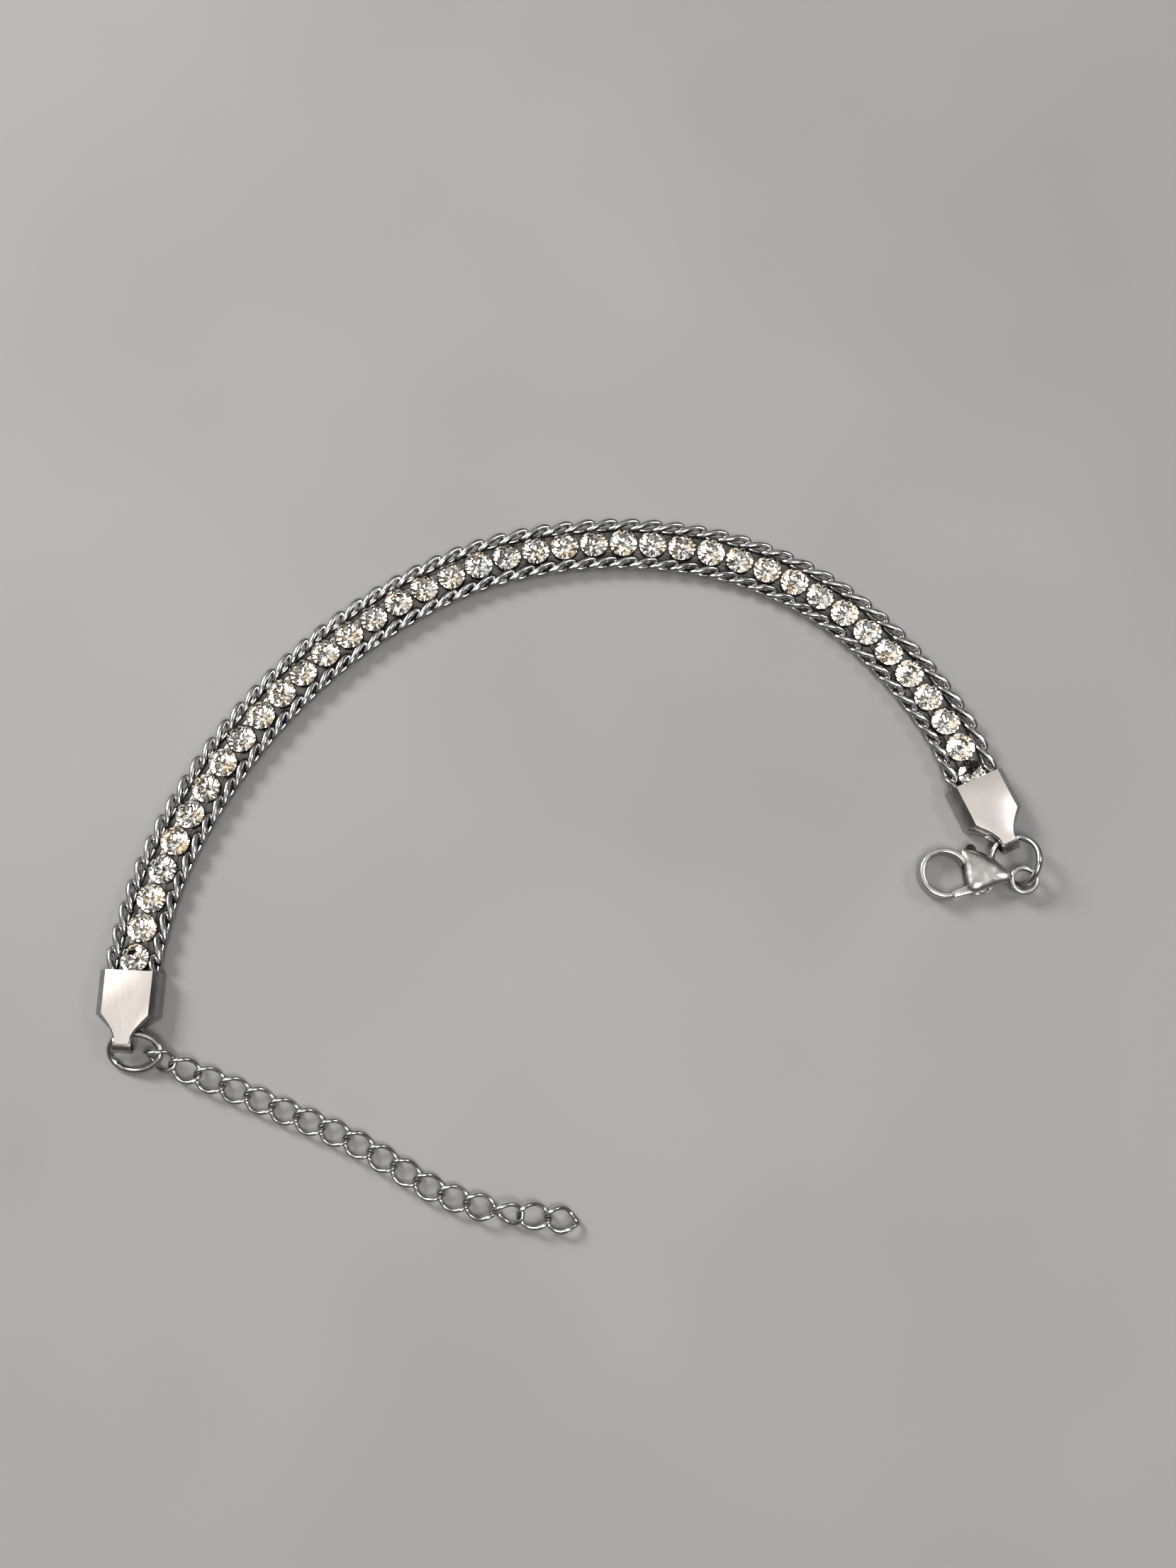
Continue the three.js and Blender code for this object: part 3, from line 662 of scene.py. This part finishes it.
def softened_mesh(node, name, width, segments):
    """A copy of a solid's own surface: its loose triangles are merged, its flat faces made
    whole, and its edges rounded by a bevel."""
    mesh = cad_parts[node].data.copy()
    mesh.materials.clear()
    work = bmesh.new()
    work.from_mesh(mesh)
    bmesh.ops.remove_doubles(work, verts=work.verts, dist=SAME_PLACE * MM)
    bmesh.ops.dissolve_limit(work, angle_limit=FLAT_WITHIN, verts=work.verts, edges=work.edges)
    work.to_mesh(mesh)
    work.free()
    carrier = bpy.data.objects.new(name + "_carrier", mesh)
    bpy.context.scene.collection.objects.link(carrier)
    bevel = carrier.modifiers.new("rounded_edges", "BEVEL")
    bevel.width = width * MM
    bevel.segments = segments
    bevel.limit_method = "ANGLE"
    bevel.angle_limit = ROUNDED_FROM
    bpy.context.view_layer.update()
    evaluated = carrier.evaluated_get(bpy.context.evaluated_depsgraph_get())
    rounded = bpy.data.meshes.new_from_object(evaluated)
    rounded.name = name
    bpy.data.objects.remove(carrier)
    return rounded


def split_faces(mesh, place, normal):
    """Cuts the faces of a mesh along a plane, its place in millimetres, and keeps both sides."""
    work = bmesh.new()
    work.from_mesh(mesh)
    everything = work.verts[:] + work.edges[:] + work.faces[:]
    bmesh.ops.bisect_plane(work, geom=everything, plane_co=place * MM, plane_no=normal)
    work.to_mesh(mesh)
    work.free()


def mark_faces(mesh, test):
    """Gives the second material to the faces that a test of (normals, centres) picks."""
    normals = np.empty(len(mesh.polygons) * 3, np.float32)
    centres = np.empty(len(mesh.polygons) * 3, np.float32)
    mesh.polygons.foreach_get("normal", normals)
    mesh.polygons.foreach_get("center", centres)
    picked = test(normals.reshape(-1, 3), centres.reshape(-1, 3) / MM)
    mesh.polygons.foreach_set("material_index", picked.astype(np.int32))


# Materials

def new_group(name, inputs, outputs):
    """An empty shader node group with named number inputs and named outputs."""
    group = bpy.data.node_groups.new(name, "ShaderNodeTree")
    for label, value in inputs.items():
        socket = group.interface.new_socket(label, in_out="INPUT", socket_type="NodeSocketFloat")
        socket.default_value = value
    for label, kind in outputs.items():
        group.interface.new_socket(label, in_out="OUTPUT", socket_type=kind)
    return group, group.nodes.new("NodeGroupInput"), group.nodes.new("NodeGroupOutput")


def scale_points(tree, factor):
    """Object coordinates times a factor."""
    coordinates = tree.nodes.new("ShaderNodeTexCoord")
    scaled = tree.nodes.new("ShaderNodeVectorMath")
    scaled.operation = "SCALE"
    scaled.inputs["Scale"].default_value = factor
    tree.links.new(coordinates.outputs["Object"], scaled.inputs[0])
    return scaled.outputs["Vector"]


def add_noise(tree, points, detail, scale=1.0):
    noise = tree.nodes.new("ShaderNodeTexNoise")
    noise.inputs["Scale"].default_value = scale
    noise.inputs["Detail"].default_value = detail
    tree.links.new(points, noise.inputs["Vector"])
    return noise


def add_range(tree, value, low, high, to_low=0.0, to_high=1.0):
    """Carries a value between low and high to the other range, and holds it to its ends."""
    spread = tree.nodes.new("ShaderNodeMapRange")
    spread.inputs["From Min"].default_value = low
    spread.inputs["From Max"].default_value = high
    spread.inputs["To Min"].default_value = to_low
    spread.inputs["To Max"].default_value = to_high
    tree.links.new(value, spread.inputs["Value"])
    return spread


def handling_marks_group():
    """Faint smears and pits of handled metal: a broad noise for the gloss, a fine one for relief."""
    group, entry, exit_node = new_group(
        "handling_marks",
        {"Smear Size": 0.8, "Pit Size": 8.0, "Low": 0.08, "High": 0.2, "Relief": 0.1, "Depth": 0.02 * MM},
        {"Roughness": "NodeSocketFloat", "Normal": "NodeSocketVector"})
    points = scale_points(group, 1 / MM)
    smear = add_noise(group, points, detail=4)
    pit = add_noise(group, points, detail=1)
    spread = add_range(group, smear.outputs["Fac"], low=0.3, high=0.7)
    bump = group.nodes.new("ShaderNodeBump")
    links = group.links
    links.new(entry.outputs["Smear Size"], smear.inputs["Scale"])
    links.new(entry.outputs["Pit Size"], pit.inputs["Scale"])
    links.new(entry.outputs["Low"], spread.inputs["To Min"])
    links.new(entry.outputs["High"], spread.inputs["To Max"])
    links.new(spread.outputs["Result"], exit_node.inputs["Roughness"])
    links.new(pit.outputs["Fac"], bump.inputs["Height"])
    links.new(entry.outputs["Relief"], bump.inputs["Strength"])
    links.new(entry.outputs["Depth"], bump.inputs["Distance"])
    links.new(bump.outputs["Normal"], exit_node.inputs["Normal"])
    return group


def tint_group():
    """Drifts slowly between two tints over the surface."""
    group, entry, exit_node = new_group("tint_drift", {"Patch Size": 0.4}, {"Share": "NodeSocketFloat"})
    noise = add_noise(group, scale_points(group, 1 / MM), detail=2)
    spread = add_range(group, noise.outputs["Fac"], low=0.35, high=0.65)
    group.links.new(entry.outputs["Patch Size"], noise.inputs["Scale"])
    group.links.new(spread.outputs["Result"], exit_node.inputs["Share"])
    return group


HANDLING_MARKS = handling_marks_group()
TINT_DRIFT = tint_group()


def use_group(tree, group, **values):
    node = tree.nodes.new("ShaderNodeGroup")
    node.node_tree = group
    for label, value in values.items():
        node.inputs[label.replace("_", " ")].default_value = value
    return node


def blank_material(name):
    material = bpy.data.materials.new(name)
    material.use_nodes = True
    return material, material.node_tree, material.node_tree.nodes["Principled BSDF"]


def drift_colour(tree, shader, one, other, patch_size):
    """Feeds the base colour with a slow change between two tints."""
    drift = use_group(tree, TINT_DRIFT, Patch_Size=patch_size)
    mix = tree.nodes.new("ShaderNodeMix")
    mix.data_type = "RGBA"
    mix.inputs["A"].default_value = (*one, 1)
    mix.inputs["B"].default_value = (*other, 1)
    tree.links.new(drift.outputs["Share"], mix.inputs["Factor"])
    tree.links.new(mix.outputs["Result"], shader.inputs["Base Color"])


def polished_metal(name):
    """Bright metal whose gloss is broken by handling marks."""
    one, other, marks_of_use = METALS[name]
    material, tree, shader = blank_material(name)
    shader.inputs["Metallic"].default_value = 1
    drift_colour(tree, shader, one, other, patch_size=0.5)
    marks = use_group(tree, HANDLING_MARKS, **marks_of_use)
    tree.links.new(marks.outputs["Roughness"], shader.inputs["Roughness"])
    tree.links.new(marks.outputs["Normal"], shader.inputs["Normal"])
    return material


def satin_metal(name, turn):
    """Brushed sheet: noise drawn out along the brushing to twenty times its width, for the gloss
    and for the relief."""
    material, tree, shader = blank_material(name)
    shader.inputs["Metallic"].default_value = 1
    drift_colour(tree, shader, (0.6, 0.555, 0.525), (0.55, 0.515, 0.49), patch_size=0.25)
    brushing = tree.nodes.new("ShaderNodeMapping")
    brushing.inputs["Rotation"].default_value = (0, 0, turn)
    stretched = tree.nodes.new("ShaderNodeVectorMath")
    stretched.operation = "MULTIPLY"
    stretched.inputs[1].default_value = (14, 0.7, 1)
    hairlines = add_noise(tree, stretched.outputs["Vector"], detail=5)
    gloss = add_range(tree, hairlines.outputs["Fac"], low=0.0, high=1.0, to_low=0.26, to_high=0.38)
    bump = tree.nodes.new("ShaderNodeBump")
    bump.inputs["Strength"].default_value = 0.25
    bump.inputs["Distance"].default_value = 0.01 * MM
    links = tree.links
    links.new(scale_points(tree, 1 / MM), brushing.inputs["Vector"])
    links.new(brushing.outputs["Vector"], stretched.inputs[0])
    links.new(gloss.outputs["Result"], shader.inputs["Roughness"])
    links.new(hairlines.outputs["Fac"], bump.inputs["Height"])
    links.new(bump.outputs["Normal"], shader.inputs["Normal"])
    return material


def cut_glass():
    """Clear lead glass with a trace of handling on its facets."""
    material, tree, shader = blank_material("cut_glass")
    shader.inputs["Base Color"].default_value = (1, 1, 1, 1)
    shader.inputs["Roughness"].default_value = 0.0
    shader.inputs["IOR"].default_value = 1.56
    shader.inputs["Transmission Weight"].default_value = 1
    marks = use_group(tree, HANDLING_MARKS, Relief=0.02, Pit_Size=5.0)
    tree.links.new(marks.outputs["Normal"], shader.inputs["Normal"])
    return material


def backing_foil():
    """Mirror foil behind a stone; its drift between champagne and cool silver is painted warm and cool
    light.
    """
    material, tree, shader = blank_material("backing_foil")
    shader.inputs["Metallic"].default_value = 1
    shader.inputs["Roughness"].default_value = 0.03
    drift_colour(tree, shader, (1.0, 0.88, 0.72), (0.88, 0.92, 0.96), patch_size=0.9)
    return material


# Camera, floor and light

def make_camera():
    """A camera at the photograph's tilt and distance, whose lens gives its focal length in pixels."""
    data = bpy.data.cameras.new("photo_camera")
    data.sensor_fit = "VERTICAL"
    data.sensor_height = 36
    data.lens = FOCAL_PIXELS / IMAGE_HEIGHT * data.sensor_height
    data.clip_start = 0.005
    camera = bpy.data.objects.new("photo_camera", data)
    bpy.context.scene.collection.objects.link(camera)
    stand = np.array([0, -math.sin(CAMERA_TILT), math.cos(CAMERA_TILT)]) * CAMERA_DISTANCE + SHIFT
    camera.location = stand * MM
    camera.rotation_euler = (CAMERA_TILT, 0, 0)
    bpy.context.scene.camera = camera


def make_floor():
    corners = np.array([[-1, -1, 0], [1, -1, 0], [1, 1, 0], [-1, 1, 0]]) * FLOOR_HALF_SIDE
    mesh = mesh_from_arrays("floor", corners, [np.arange(4)[None]])
    floor = bpy.data.objects.new("floor", mesh)
    bpy.context.scene.collection.objects.link(floor)
    material, tree, shader = blank_material("pale_floor")
    shader.inputs["Roughness"].default_value = 0.8
    drift_colour(tree, shader, (0.176, 0.177, 0.179), (0.192, 0.193, 0.195), patch_size=0.02)
    mesh.materials.append(material)


def soft_light(name, place, size, power, colour):
    """A square soft light at a place in metres, turned to the middle of the piece. Its side stays
    defined straight overhead, because the upward line it is square to leans a little."""
    data = bpy.data.lights.new(name, "AREA")
    data.size = size
    data.energy = power
    data.color = colour
    light = bpy.data.objects.new(name, data)
    bpy.context.scene.collection.objects.link(light)
    light.location = place
    backwards = unit(np.array(place, float))
    aside = unit(np.cross(UP + [0.01, 0, 0], backwards))
    turn = np.column_stack([aside, np.cross(backwards, aside), backwards])
    light.rotation_euler = Matrix(turn.tolist()).to_euler()


def sky_tint(tree, direction):
    """Tint by the dot product of a direction of the sky with that of the window."""
    towards_window = tree.nodes.new("ShaderNodeVectorMath")
    towards_window.operation = "DOT_PRODUCT"
    towards_window.inputs[1].default_value = unit(np.array(WINDOW_DIRECTION))
    ramp = tree.nodes.new("ShaderNodeValToRGB")
    stops = ramp.color_ramp.elements
    for position, _ in SKY_TINTS[1:-1]:
        stops.new(position)
    for stop, (position, tint) in zip(stops, SKY_TINTS):
        stop.position = position
        stop.color = (*tint, 1)
    tree.links.new(direction, towards_window.inputs[0])
    tree.links.new(towards_window.outputs["Value"], ramp.inputs["Fac"])
    return ramp.outputs["Color"]


def sky_strength(tree, direction):
    """Strength one near the horizon, broken overhead into bright and dark panels by a noise."""
    panels = add_noise(tree, direction, detail=1, scale=SKY_PANELS)
    dark, bright = PANEL_STRENGTHS
    contrast = add_range(tree, panels.outputs["Fac"], low=0.46, high=0.54, to_low=dark, to_high=bright)
    height = tree.nodes.new("ShaderNodeSeparateXYZ")
    overhead = add_range(tree, height.outputs["Z"], low=0.3, high=0.6)
    strength = tree.nodes.new("ShaderNodeMix")
    strength.inputs["A"].default_value = 1
    tree.links.new(direction, height.inputs["Vector"])
    tree.links.new(overhead.outputs["Result"], strength.inputs["Factor"])
    tree.links.new(contrast.outputs["Result"], strength.inputs["B"])
    return strength.outputs["Result"]


def make_sky():
    """A sky that brightens towards a window and is broken into panels overhead."""
    world = bpy.data.worlds.new("studio")
    world.use_nodes = True
    tree = world.node_tree
    sky = tree.nodes["Background"]
    direction = tree.nodes.new("ShaderNodeTexCoord").outputs["Generated"]
    tree.links.new(sky_tint(tree, direction), sky.inputs["Color"])
    tree.links.new(sky_strength(tree, direction), sky.inputs["Strength"])
    bpy.context.scene.world = world
    bpy.context.scene.view_settings.view_transform = "Standard"


# The pieces

def dress_wire(name, part, node, steel):
    """A piece of bent wire in place of a node."""
    mesh = mesh_from_arrays(name, *join_parts([part]))
    shade(mesh, WIRE_CREASE)
    add_piece(name, mesh, [steel], [node])


def dress_cups():
    # Dark brownish cup metal: painted shade between the stones.
    cup_metal_painted_shade = polished_metal("cup_metal_painted_shade")
    mesh = mesh_from_arrays("cups", *cup_chain_part())
    shade(mesh, CUP_CREASE)
    add_piece("cups", mesh, [cup_metal_painted_shade], ["cup_chain"])


def dress_cap(side, cap, cap_steel):
    """An end cap whose flat top is satin, brushed along the cap, and whose sides are polished."""
    outwards = cap[2][0]
    satin = satin_metal(f"satin_steel_{side}", math.pi / 2 - math.atan2(outwards[1], outwards[0]))
    mesh = softened_mesh(f"end_cap_{side}", f"cap_{side}", CAP_ROUNDING, segments=3)
    shade(mesh, FOLD_CREASE)
    top = CAP_HEIGHT - CAP_TOP_DEPTH
    mark_faces(mesh, lambda normals, centres: (normals[:, 2] > LEVEL_FACE) & (centres[:, 2] > top))
    add_piece(f"cap_{side}", mesh, [cap_steel, satin], [f"end_cap_{side}"])


def dress_clasp():
    """The clasp's body, and its lever, whose thumb knob is near-black metal: painted shade."""
    cast_steel = polished_metal("cast_steel")
    knob_painted_shade_steel = polished_metal("knob_painted_shade_steel")
    mesh = mesh_from_arrays("clasp", *clasp_body_part())
    shade(mesh, CLASP_CREASE)
    add_piece("clasp", mesh, [cast_steel], ["clasp_body"])
    mesh = softened_mesh("clasp_lever", "lever", LEVER_ROUNDING, segments=4)
    knob, pivot = in_clasp(np.array([[*LEVER_KNOB, CLASP_HEIGHT / 2], [*LEVER_PIVOT, CLASP_HEIGHT / 2]]))
    towards_knob = unit(knob - pivot)
    split_faces(mesh, knob - KNOB_REACH * towards_knob, towards_knob)
    shade(mesh, FOLD_CREASE)
    # Faces at the thumb knob get the near-black metal, which paints the shade on the knob.
    mark_faces(mesh, lambda normals, centres: (centres - knob) @ towards_knob > -KNOB_REACH)
    metals = [cast_steel, knob_painted_shade_steel]
    add_piece("lever", mesh, metals, ["clasp_lever"], body="lever")


def dress_metalwork():
    steel = polished_metal("polished_steel")
    cap_steel = polished_metal("cap_steel")
    dress_wire("outer_row", row_part(1), "side_chain_outer", steel)
    dress_wire("inner_row", row_part(-1), "side_chain_inner", steel)
    dress_cups()
    dress_wire("chain", chain_part(), "extension_chain", steel)
    for side, cap, ring in (("left", LEFT_CAP, LEFT_RING), ("right", RIGHT_CAP, RIGHT_RING)):
        dress_wire(f"ring_{side}", jump_ring_part(cap, **ring), f"jump_ring_{side}", steel)
        dress_cap(side, cap, cap_steel)
    dress_clasp()


def dress_stones():
    glass = cut_glass()
    foil = backing_foil()
    places, faces = stone_parts()
    for index, points in enumerate(places):
        name = f"brilliant_{index + 1:02d}"
        mesh = mesh_from_arrays(name, points, faces)
        shade(mesh, None)
        mark_faces(mesh, lambda normals, centres: normals[:, 2] < FOIL_FACES_BELOW)
        add_piece(name, mesh, [glass, foil], [f"stone_{index + 1:02d}"])


make_camera()
make_floor()
make_sky()
for light in SOFT_LIGHTS:
    soft_light(*light)
dress_metalwork()
dress_stones()
